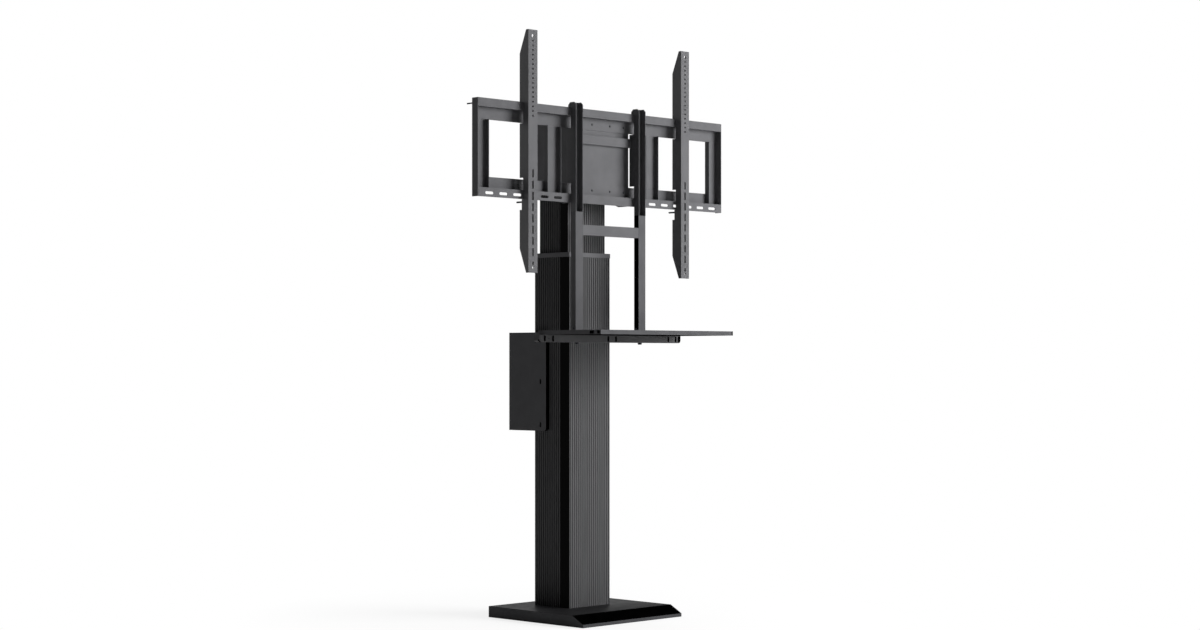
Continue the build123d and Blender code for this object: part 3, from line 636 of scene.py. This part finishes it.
# Painted shade: the slope down to the lip is black.
paint(foot, finishes["matt_black"],
      lambda centre, normal: centre.y < SLOPE_START and normal.z > 0.6 and normal.y < -0.3)
stand_in(foot, "base_cover")
print("foot cover", len(foot.data.polygons), "faces")

# %% [markdown]
# ## Collar of the outer column
# A folded cap closes the outer column around the inner one. It is a box with rounded upright edges, its top
# face is inset and sized to the opening, and with that face and the underside gone, Solidify gives the wall.

# %% Collar
COLLAR_WALL = 1.9
COLLAR_CORNER = 5.0
INNER_HALF_DEPTH = 71.5
RUNNING_GAP = 0.5
low, high = in_mm(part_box("column_collar"))
rim = high.x - INNER_HALF_WIDTH - RUNNING_GAP
collar = box("collar", low.x, high.x, low.y, high.y, low.z, high.z)
bpy.ops.object.mode_set(mode="EDIT")
pick_edges(collar, lambda a, b: abs(a.z - b.z) > high.z - low.z - NEAR)
bpy.ops.mesh.bevel(offset=COLLAR_CORNER * MM, segments=5, affect="EDGES")
pick_faces(collar, lambda centre, normal: normal.z > FACING)
bpy.ops.mesh.inset(thickness=rim * MM)
bpy.ops.transform.resize(value=(1, (INNER_HALF_DEPTH + RUNNING_GAP) / (high.y - rim), 1))
bpy.ops.mesh.delete(type="FACE")
pick_faces(collar, lambda centre, normal: normal.z < -FACING)
bpy.ops.mesh.delete(type="FACE")
bpy.ops.object.mode_set(mode="OBJECT")
apply_modifier(collar, "SOLIDIFY", thickness=COLLAR_WALL * MM, offset=-1, use_even_offset=True)
soften(collar, width=0.6)
stand_in(collar, "column_collar")
print("collar", len(collar.data.polygons), "faces")

# %% [markdown]
# ## Screws
# Button screws with a hexagon socket hold the covers, posts and head. One starts as a ring, the rim of its
# head, that is extruded down into the underside and the shank, and up into the dome. A hexagon with as many
# points as the ring is bridged to it and then pushed down as the socket.

# %% Parts of a screw
RIM_POINTS = 24
# Shares of the shank's radius.
HEAD_RADIUS = 1.7
HEAD_HEIGHT = 1.2
THREAD_ROOT = 0.86
TIP_TAPER = 0.8
# A thread leaves at least this length in mm plain.
PLAIN_END = 1.0


def ring(points, radius, height=0.0):
    """Adds a ring of points without a face. Its radius and height are in mm."""
    bpy.ops.mesh.primitive_circle_add(vertices=points, radius=radius * MM, fill_type="NOTHING",
                                      location=(0, 0, height * MM))


def rise(height, scale=1.0):
    """Extrudes the selected ring along Z by a height in mm and scales it."""
    bpy.ops.mesh.extrude_edges_move(TRANSFORM_OT_translate={"value": (0, 0, height * MM)})
    bpy.ops.transform.resize(value=(scale, scale, 1))


def rim_and_shank(radius, length, tip, thread=0.0):
    """Starts a screw along Z with its seat at the origin: rim, underside, shank and tip.

    It stays in edit mode with the rim selected. A thread is drawn as rings at the given pitch in mm."""
    head = radius * HEAD_RADIUS
    bpy.ops.object.select_all(action="DESELECT")
    ring(RIM_POINTS, head)
    made = bpy.context.object
    bpy.ops.object.mode_set(mode="EDIT")
    bpy.ops.mesh.select_all(action="SELECT")
    rise(0, 1 / HEAD_RADIUS)
    if thread:
        turns = int((length - PLAIN_END) / thread)
        for turn in range(turns):
            rise(-thread / 2, THREAD_ROOT)
            rise(-thread / 2, 1 / THREAD_ROOT)
        length -= turns * thread
    rise(tip - length)
    rise(-tip, TIP_TAPER)
    bpy.ops.mesh.edge_face_add()
    pick_edges(made, lambda a, b: abs(a.z) + abs(b.z) < NEAR and min(a.xy.length, b.xy.length) > head - NEAR)
    return made


def bridge_hexagon(made, radius, height):
    """Bridges the open ring at a height to a hexagon of as many points, and selects the hexagon."""
    bpy.ops.mesh.select_all(action="DESELECT")
    ring(6, radius, height)
    bpy.ops.mesh.subdivide(number_cuts=RIM_POINTS // 6 - 1)
    pick_edges(made, lambda a, b: min(a.z, b.z) > height - NEAR)
    bpy.ops.mesh.bridge_edge_loops()
    pick_edges(made, lambda a, b: min(a.z, b.z) > height - NEAR
               and max(a.xy.length, b.xy.length) < radius + NEAR)


print("parts of a screw ready")

# %% One button screw
# The dome rises in four steps, each a share of the head's height and a scale.
DOME = ((0.45, 1.0), (0.30, 0.93), (0.17, 0.82), (0.08, 0.76))
# Shares of the head's radius and height.
SOCKET_RADIUS = 0.38
SOCKET_DEPTH = 0.6


def button_screw(radius, length, thread=0.0):
    """A button screw with a hexagon socket. Its sizes come from the shank's radius."""
    height = radius * HEAD_HEIGHT
    made = rim_and_shank(radius, length, tip=0.5, thread=thread)
    for part, scale in DOME:
        rise(height * part, scale)
    bridge_hexagon(made, radius * HEAD_RADIUS * SOCKET_RADIUS, height)
    rise(-height * SOCKET_DEPTH)
    bpy.ops.mesh.edge_face_add()
    close_mesh(angle=40)
    return made


print("button screw ready")

# %% [markdown]
# ## Copies at their seats
# What repeats is modelled once. It is copied to each seat, turned to its hole, and the copies are joined, as
# their CAD node is one group. A seat is a place and the way the shank points, and what is the same on both
# sides is mirrored.

# %% Copying helpers


def copies_at(template, seats):
    """Copies a piece to each seat, a place in mm and the way its -Z points, and joins the copies."""
    copies = []
    for place, way in seats:
        made = template.copy()
        made.data = template.data.copy()
        bpy.context.scene.collection.objects.link(made)
        made.rotation_mode = "QUATERNION"
        made.rotation_quaternion = Vector((0, 0, -1)).rotation_difference(Vector(way))
        made.location = [v * MM for v in place]
        copies.append(made)
    bpy.ops.object.select_all(action="DESELECT")
    for made in copies:
        made.select_set(True)
    bpy.context.view_layer.objects.active = copies[0]
    bpy.ops.object.transform_apply(location=True, rotation=True, scale=True)
    if len(copies) > 1:
        bpy.ops.object.join()
    joined = bpy.context.view_layer.objects.active
    joined.rotation_mode = "XYZ"
    bpy.data.objects.remove(template)
    return joined


def set_in(template, node, seats, finish=None):
    """Copies a piece to its seats and lets the copies stand in for their CAD node."""
    joined = copies_at(template, seats)
    stand_in(joined, node, finish)
    print(node, len(seats), "pieces,", len(joined.data.polygons), "faces")


print("copying helpers ready")

# %% [markdown]
# ## Screws of the rear cover
# The rear cover sits on a carrier plate and is held by one screw in each side. Four screws hold the carrier
# to the back of the column. The seats are where the heads lie on the sheet.

# %% Set the screws of the rear cover
COVER_SIDE_X = 120.0
COVER_SCREW_Y = 65.0
COVER_SCREW_Z = 984.5
CARRIER_SCREW_X = 50.0
CARRIER_SEAT_Y = 90.2
CARRIER_SCREW_Z = (699.0, 983.0)

cover_seats = [((s * COVER_SIDE_X, COVER_SCREW_Y, COVER_SCREW_Z), (-s, 0, 0)) for s in SIDES]
carrier_seats = [((s * CARRIER_SCREW_X, CARRIER_SEAT_Y, z), (0, -1, 0))
                 for s in SIDES for z in CARRIER_SCREW_Z]
set_in(button_screw(radius=2.5, length=4.5), "cover_screws", cover_seats)
set_in(button_screw(radius=2.5, length=6.5), "carrier_screws", carrier_seats)

# %% [markdown]
# ## Screws of the posts, the head and the rails
# Each post is held at its foot by a screw in both sides. Four long screws go down through the top plate of
# the head into the inner column, and eight bolts join the head and the two rails.

# %% Set the screws of the posts, the head and the rails
# The two sides of a post, each with the way that its screw points.
POST_SIDES = ((141.2, 1), (176.5, -1))
POST_AXIS_Y = -183.3
POST_SCREW_Z = 1029.5
STAGE_SCREW_X = 84.4
STAGE_SCREW_Y = 60.5
HEAD_TOP_Z = 1800.0
RAIL_BOLT_X = (45.0, 115.0)
RAIL_SEAT_Y = -137.6
RAIL_BOLT_Z = (1750.75, 1517.9)

post_seats = [((s * x, POST_AXIS_Y, POST_SCREW_Z), (s * way, 0, 0)) for s in SIDES for x, way in POST_SIDES]
stage_seats = [((sx * STAGE_SCREW_X, sy * STAGE_SCREW_Y, HEAD_TOP_Z), (0, 0, -1))
               for sx in SIDES for sy in SIDES]
rail_seats = [((s * x, RAIL_SEAT_Y, z), (0, -1, 0)) for s in SIDES for x in RAIL_BOLT_X for z in RAIL_BOLT_Z]
set_in(button_screw(radius=2.5, length=10), "post_foot_screws", post_seats)
set_in(button_screw(radius=3.3, length=26), "stage_screws", stage_seats)
set_in(button_screw(radius=4.0, length=6.5), "rail_bolts", rail_seats)

# %% [markdown]
# ## Lock screws of the arms
# An arm hangs on the rails and slides along them. A long screw under the lower rail locks it. Its end can be
# seen, so it has a thread, and it is black in the photo.

# %% Set the lock screws
ARM_X = 384.5
LOCK_SEAT_Y = -180.9
LOCK_SCREW_Z = 1460.0

for node, side in (("lock_screw_right", 1), ("lock_screw_left", -1)):
    lock_seat = ((side * ARM_X, LOCK_SEAT_Y, LOCK_SCREW_Z), (0, 1, 0))
    set_in(button_screw(radius=3.0, length=63.9, thread=1.0), node, [lock_seat], finishes["black_fasteners"])

# %% [markdown]
# ## Shelf bolts
# Two hexagon bolts come up through the beam and the shelf into the posts. They start like the button screws.
# The head is a six-sided ring whose top is drawn in by a chamfer, with the round washer face under it.

# %% Hexagon bolts
# Shares of the head's radius.
WASHER_TAPER = 0.97
HEXAGON_RADIUS = 0.86
CHAMFER_SCALE = 0.88
# Shares of the head's height: washer face, six sides, chamfer.
WASHER_PART = 0.18
SIDES_PART = 0.70
CHAMFER_PART = 0.12
# The top is forged a little hollow. Shares of the shank's radius.
DISH_RIM = 0.25
DISH_DEPTH = 0.06


def hexagon_bolt(radius, length):
    """A hexagon bolt along Z with its seat at the origin and a round washer face under its head."""
    height = radius * HEAD_HEIGHT
    made = rim_and_shank(radius, length, tip=1.0)
    rise(height * WASHER_PART, WASHER_TAPER)
    bridge_hexagon(made, radius * HEAD_RADIUS * HEXAGON_RADIUS, height * WASHER_PART)
    rise(height * SIDES_PART)
    rise(height * CHAMFER_PART, CHAMFER_SCALE)
    bpy.ops.mesh.edge_face_add()
    bpy.ops.mesh.inset(thickness=radius * DISH_RIM * MM, depth=-radius * DISH_DEPTH * MM)
    close_mesh(angle=30)
    return made


BEAM_LOW_Z = 979.5
post_axis_x = (POST_SIDES[0][0] + POST_SIDES[1][0]) / 2
bolt_seats = [((s * post_axis_x, POST_AXIS_Y, BEAM_LOW_Z), (0, 0, 1)) for s in SIDES]
set_in(hexagon_bolt(radius=5.0, length=60.9), "shelf_bolts", bolt_seats, finishes["black_fasteners"])

# %% [markdown]
# ## Thread of the spindle
# The lifting spindle has a trapezoidal thread with three starts, each 4 mm from the next, so one turn lifts
# 12 mm. The outline of the three starts is extruded point by point from one vertex. The Screw modifier winds
# it up, two cuts give flat ends, and the collar and the journal are extruded from a disc under it. The
# thread starts a little inside the collar, and a small shift keeps its points off the planes of the cuts.

# %% Wind the thread
PITCH = 4.0
STARTS = 3
LEAD = STARTS * PITCH
CREST = 10.0
ROOT = 7.75
FLANK = 0.55
FLAT = PITCH / 2 - FLANK
JOURNAL_RADIUS = 8.0
COLLAR_RADIUS = 14.0
COLLAR_HEIGHT = 6.0
COLLAR_TOP = 124.0
THREAD_OVERLAP = 1.0
SHIFT = 0.13
TURN_STEPS = 24
low, high = in_mm(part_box("spindle"))
thread_foot = COLLAR_TOP - THREAD_OVERLAP
turns = int((high.z - thread_foot) / LEAD) + 2
bpy.ops.object.select_all(action="DESELECT")
bpy.ops.mesh.primitive_plane_add(size=1 * MM, location=(0, 0, 0))
thread = bpy.context.object
bpy.ops.object.mode_set(mode="EDIT")
bpy.ops.mesh.select_all(action="SELECT")
bpy.ops.mesh.merge(type="CENTER")
bpy.ops.mesh.select_mode(type="VERT")
bpy.ops.mesh.select_all(action="SELECT")
bpy.ops.transform.translate(value=(ROOT * MM, 0, (thread_foot - LEAD - SHIFT) * MM))
for start in range(STARTS):
    for out, up in ((0, FLAT), (CREST - ROOT, FLANK), (0, FLAT), (ROOT - CREST, FLANK)):
        bpy.ops.mesh.extrude_vertices_move(TRANSFORM_OT_translate={"value": (out * MM, 0, up * MM)})
bpy.ops.object.mode_set(mode="OBJECT")
apply_modifier(thread, "SCREW", angle=math.tau, screw_offset=LEAD * MM, iterations=turns, steps=TURN_STEPS,
               render_steps=TURN_STEPS, axis="Z", use_normal_calculate=True)
print("wound", turns, "turns,", len(thread.data.polygons), "faces")

# %% Trim the thread and add the collar and journal
bpy.ops.object.mode_set(mode="EDIT")
bpy.ops.mesh.select_all(action="SELECT")
bpy.ops.mesh.remove_doubles(threshold=NEAR * MM)
for height, below in ((thread_foot, True), (high.z, False)):
    bpy.ops.mesh.select_all(action="SELECT")
    bpy.ops.mesh.bisect(plane_co=(0, 0, height * MM), plane_no=(0, 0, 1), use_fill=True, clear_inner=below,
                        clear_outer=not below)
bpy.ops.mesh.select_all(action="SELECT")
bpy.ops.mesh.normals_make_consistent(inside=False)
bpy.ops.mesh.select_all(action="DESELECT")
bpy.ops.mesh.primitive_circle_add(vertices=ROUND_POINTS, radius=JOURNAL_RADIUS * MM, fill_type="NGON",
                                  location=(0, 0, low.z * MM))
pick_faces(thread, lambda centre, normal: centre.z < low.z + NEAR)
journal_length = COLLAR_TOP - COLLAR_HEIGHT - low.z
bpy.ops.mesh.extrude_region_move(TRANSFORM_OT_translate={"value": (0, 0, journal_length * MM)})
bpy.ops.mesh.extrude_region_move()
bpy.ops.transform.resize(value=(COLLAR_RADIUS / JOURNAL_RADIUS, COLLAR_RADIUS / JOURNAL_RADIUS, 1))
bpy.ops.mesh.extrude_region_move(TRANSFORM_OT_translate={"value": (0, 0, COLLAR_HEIGHT * MM)})
close_mesh(angle=30)
stand_in(thread, "spindle")
print("spindle", len(thread.data.polygons), "faces")

# %% [markdown]
# ## Pads under the foot
# Six moulded pads sit in the slab. Each is a cylinder whose lower face is inset into three raised rings, as
# moulded pads have to grip, and whose rim is rounded.

# %% Foot pads
PAD_RADIUS = 20.0
PAD_HEIGHT = 3.0
RINGS = 3
RING_WIDTH = 3.4
GROOVE_WIDTH = 1.2
GROOVE_SLOPE = 0.5
GROOVE_DEPTH = 0.8
bpy.ops.object.select_all(action="DESELECT")
bpy.ops.mesh.primitive_cylinder_add(vertices=ROUND_POINTS, radius=PAD_RADIUS * MM, depth=PAD_HEIGHT * MM,
                                    location=(0, 0, PAD_HEIGHT / 2 * MM))
pad = bpy.context.object
bpy.ops.object.transform_apply(location=True, rotation=True, scale=True)
bpy.ops.object.mode_set(mode="EDIT")
pick_faces(pad, lambda centre, normal: normal.z < -FACING)
for groove in range(RINGS):
    bpy.ops.mesh.inset(thickness=RING_WIDTH * MM)
    bpy.ops.mesh.inset(thickness=GROOVE_SLOPE * MM, depth=-GROOVE_DEPTH * MM)
    bpy.ops.mesh.inset(thickness=GROOVE_WIDTH * MM)
    bpy.ops.mesh.inset(thickness=GROOVE_SLOPE * MM, depth=GROOVE_DEPTH * MM)
bpy.ops.object.mode_set(mode="OBJECT")
soften(pad, width=0.3)
low, high = in_mm(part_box("foot_pads"))
pad_x = (high.x - low.x) / 2 - PAD_RADIUS
pad_front = low.y + PAD_RADIUS
pad_back = high.y - PAD_RADIUS
pad_rows = (pad_front, (pad_front + pad_back) / 2, pad_back)
set_in(pad, "foot_pads", [((s * pad_x, y, 0), (0, 0, -1)) for s in SIDES for y in pad_rows])

# %% [markdown]
# ## Pins of the power inlet
# The inlet under the rear cover is a moulded well with three flat pins. A pin is a small bar whose end is
# drawn in by an inset, so that the plug slides on.

# %% Inlet pins
PIN_HALF_WIDTH = 2.0
PIN_HALF_DEPTH = 1.0
PIN_LENGTH = 16.0
# The end of a pin is this much narrower on each side, and stands this far out.
PIN_INSET = 0.5
PIN_TIP = 0.8
# How far the ends of the pins stand back in the well.
PIN_DEPTH = 5.0
# Places beside the middle of the well in X and Y.
PIN_PLACES = ((-7, 1.5), (0, -2.5), (7, 1.5))
low, high = in_mm(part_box("mains_inlet"))
well = (low + high) / 2
bar = box("pin", -PIN_HALF_WIDTH, PIN_HALF_WIDTH, -PIN_HALF_DEPTH, PIN_HALF_DEPTH, 0, PIN_LENGTH)
bpy.ops.object.mode_set(mode="EDIT")
pick_faces(bar, lambda centre, normal: normal.z < -FACING)
bpy.ops.mesh.inset(thickness=PIN_INSET * MM, depth=PIN_TIP * MM)
bpy.ops.object.mode_set(mode="OBJECT")
soften(bar, width=0.2)
pin_seats = [((well.x + dx, well.y + dy, low.z + PIN_DEPTH), (0, 0, -1)) for dx, dy in PIN_PLACES]
pins = copies_at(bar, pin_seats)
pins.name = "inlet_pins"
pins.data.materials.append(finishes["zinc_fasteners"])
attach(pins, "base_column")
print("inlet pins", len(pins.data.polygons), "faces")

# %% [markdown]
# ## Camera
# The photograph was taken from about 8 m away, 920 mm above the floor, with the camera level and the
# horizon moved down in the picture. So the lens is long, its axis stays level, and the picture is shifted
# instead of tilted, which keeps every upright edge parallel.

# %% Set the camera
CAMERA_PLACE = (-5.676, -5.731, 0.920)
CAMERA_TURN = math.radians(45.237)
FAR_LIMIT = 60
view_data = bpy.data.cameras.new("photo view")
camera = bpy.data.objects.new("photo view", view_data)
bpy.context.scene.collection.objects.link(camera)
camera.location = CAMERA_PLACE
camera.rotation_euler = (math.pi / 2, 0, -CAMERA_TURN)
view_data.sensor_width = 36.0
view_data.lens = 67.29
view_data.shift_x = 0.0063
view_data.shift_y = 0.0371
view_data.clip_end = FAR_LIMIT
bpy.context.scene.camera = camera
print("lens", view_data.lens, "mm")

# %% [markdown]
# ## Backdrop
# The picture is a studio shot on pure white. The world is white for the camera and for reflections, and gives
# the object only a low fill, so that its dark faces stay dark.

# %% World
FILL_LIGHT = 0.045
WHITE = (1, 1, 1, 1)
scene = bpy.context.scene
scene.view_settings.view_transform = "Standard"
world = bpy.data.worlds.new("white studio")
scene.world = world
world.use_nodes = True
tree = world.node_tree
tree.nodes.clear()
rays = add(tree, "ShaderNodeLightPath").outputs
seen = add(tree, "ShaderNodeMath", {0: rays["Is Camera Ray"], 1: rays["Is Transmission Ray"]},
           operation="MAXIMUM")
white = add(tree, "ShaderNodeBackground", {"Color": WHITE, "Strength": 1.0})
fill = add(tree, "ShaderNodeBackground", {"Color": WHITE, "Strength": FILL_LIGHT})
glossy = add(tree, "ShaderNodeBackground", {"Color": WHITE, "Strength": 1.0})
first = add(tree, "ShaderNodeMixShader", {0: rays["Is Glossy Ray"], 1: fill.outputs[0], 2: glossy.outputs[0]})
last = add(tree, "ShaderNodeMixShader", {0: seen.outputs["Value"], 1: first.outputs[0], 2: white.outputs[0]})
add(tree, "ShaderNodeOutputWorld", {"Surface": last.outputs[0]})
print("world ready")

# %% [markdown]
# ## Floor
# The floor is white paper. Seen by the camera it also glows, more and more away from the object, so that it
# fades into the white backdrop and only a soft shadow near the foot is left.

# %% Floor
FLOOR_SIZE = 40
FLOOR_LEVEL = -0.0005
GLOW_NEAR = 0.3
GLOW_FAR = 1.2
GLOW_LEAST = 0.8
bpy.ops.object.select_all(action="DESELECT")
bpy.ops.mesh.primitive_plane_add(size=FLOOR_SIZE, location=(0, 0, FLOOR_LEVEL))
floor = bpy.context.object
floor.name = "studio floor"
paper, tree, shader, place = new_material("white paper floor", "F4F4F4", 0.9, Specular_IOR_Level=0.1)
rays = add(tree, "ShaderNodeLightPath").outputs
glow = add(tree, "ShaderNodeEmission", {"Color": WHITE, "Strength": 1.0}).outputs["Emission"]
away = add(tree, "ShaderNodeVectorMath", {0: place}, operation="LENGTH").outputs["Value"]
share = add(tree, "ShaderNodeMapRange", {"Value": away, "From Min": GLOW_NEAR, "From Max": GLOW_FAR,
                                         "To Min": GLOW_LEAST, "To Max": 1.0}).outputs["Result"]
plain = shader.outputs["BSDF"]
mix = add(tree, "ShaderNodeMixShader", {0: share, 1: plain, 2: glow}).outputs["Shader"]
through = add(tree, "ShaderNodeMixShader", {0: rays["Is Camera Ray"], 1: plain, 2: mix}).outputs["Shader"]
tree.links.new(through, tree.nodes["Material Output"].inputs["Surface"])
floor.data.materials.append(paper)
print("floor ready")

# %% [markdown]
# ## Lamps
# In the photo the front faces are the light ones and the left faces nearly black, so a large soft key stands
# in front on the right. A second lamp lights the back, and a weak one the top. The lamps are not mirrored in
# the object, because that would burn out flat tops at a low angle.

# %% Lamps


def soft_box(name, place, aim, size, power):
    """A square area lamp that looks at a point and that reflections don't show."""
    data = bpy.data.lights.new(name, "AREA")
    data.size = size
    data.energy = power
    lamp = bpy.data.objects.new(name, data)
    scene.collection.objects.link(lamp)
    lamp.location = place
    lamp.rotation_euler = (Vector(aim) - Vector(place)).to_track_quat("-Z", "Y").to_euler()
    lamp.visible_glossy = False


# Places and sizes are in metres, and powers in watts.
soft_box("key", place=(3.2, -4.4, 2.3), aim=(0, 0, 1.1), size=3.2, power=620)
soft_box("back", place=(1.8, 4.8, 2.2), aim=(0, 0, 1.1), size=3.0, power=220)
soft_box("top", place=(0.5, 0.5, 5.5), aim=(0, 0, 1.0), size=2.5, power=20)
print("lamps ready")
